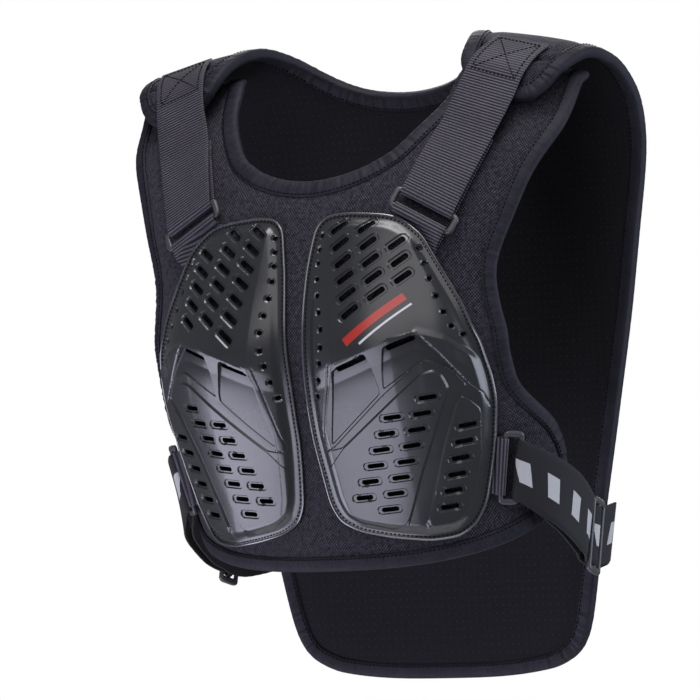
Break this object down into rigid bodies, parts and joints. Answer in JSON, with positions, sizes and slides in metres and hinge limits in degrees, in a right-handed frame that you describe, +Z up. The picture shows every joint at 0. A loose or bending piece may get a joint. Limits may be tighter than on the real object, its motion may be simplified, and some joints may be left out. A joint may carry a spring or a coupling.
{
  "type": "body protector",
  "caption": "Padded chest and back protector for riding, with vented hard chest plates, webbing shoulder straps and elastic side straps, in its worn form.",
  "frame": {"origin": "midway between the shoulder pads, where the wearer's shoulders carry the protector", "axes": "+Z up along the wearer's back, the wearer faces -Y, +X to the wearer's left"},
  "size_m": [0.4556, 0.2508, 0.543],
  "materials": {
    "mesh_knit": "black spacer knit",
    "edge_tape": "smooth black binding",
    "plate": "satin black moulding",
    "webbing": "ribbed black webbing",
    "elastic": "black woven elastic",
    "moulding": "dull black"
  },
  "bodies": {
    "root": {"front_panel": "mesh_knit", "front_edge_tape": "edge_tape", "back_panel": "mesh_knit", "back_edge_tape": "edge_tape", "chest_plate_left": "plate", "chest_plate_right": "plate", "shoulder_strap_left": "webbing", "shoulder_strap_right": "webbing", "shoulder_ring_left": "moulding", "shoulder_ring_right": "moulding", "shoulder_anchor_left": "webbing", "shoulder_anchor_right": "webbing", "side_anchor_left": "webbing", "side_anchor_right": "webbing", "side_ring_left": "moulding", "side_ring_right": "moulding", "side_strap_left": "elastic", "side_strap_right": "elastic", "side_slider_left": "moulding", "side_slider_right": "moulding"}
  },
  "joints": []
}
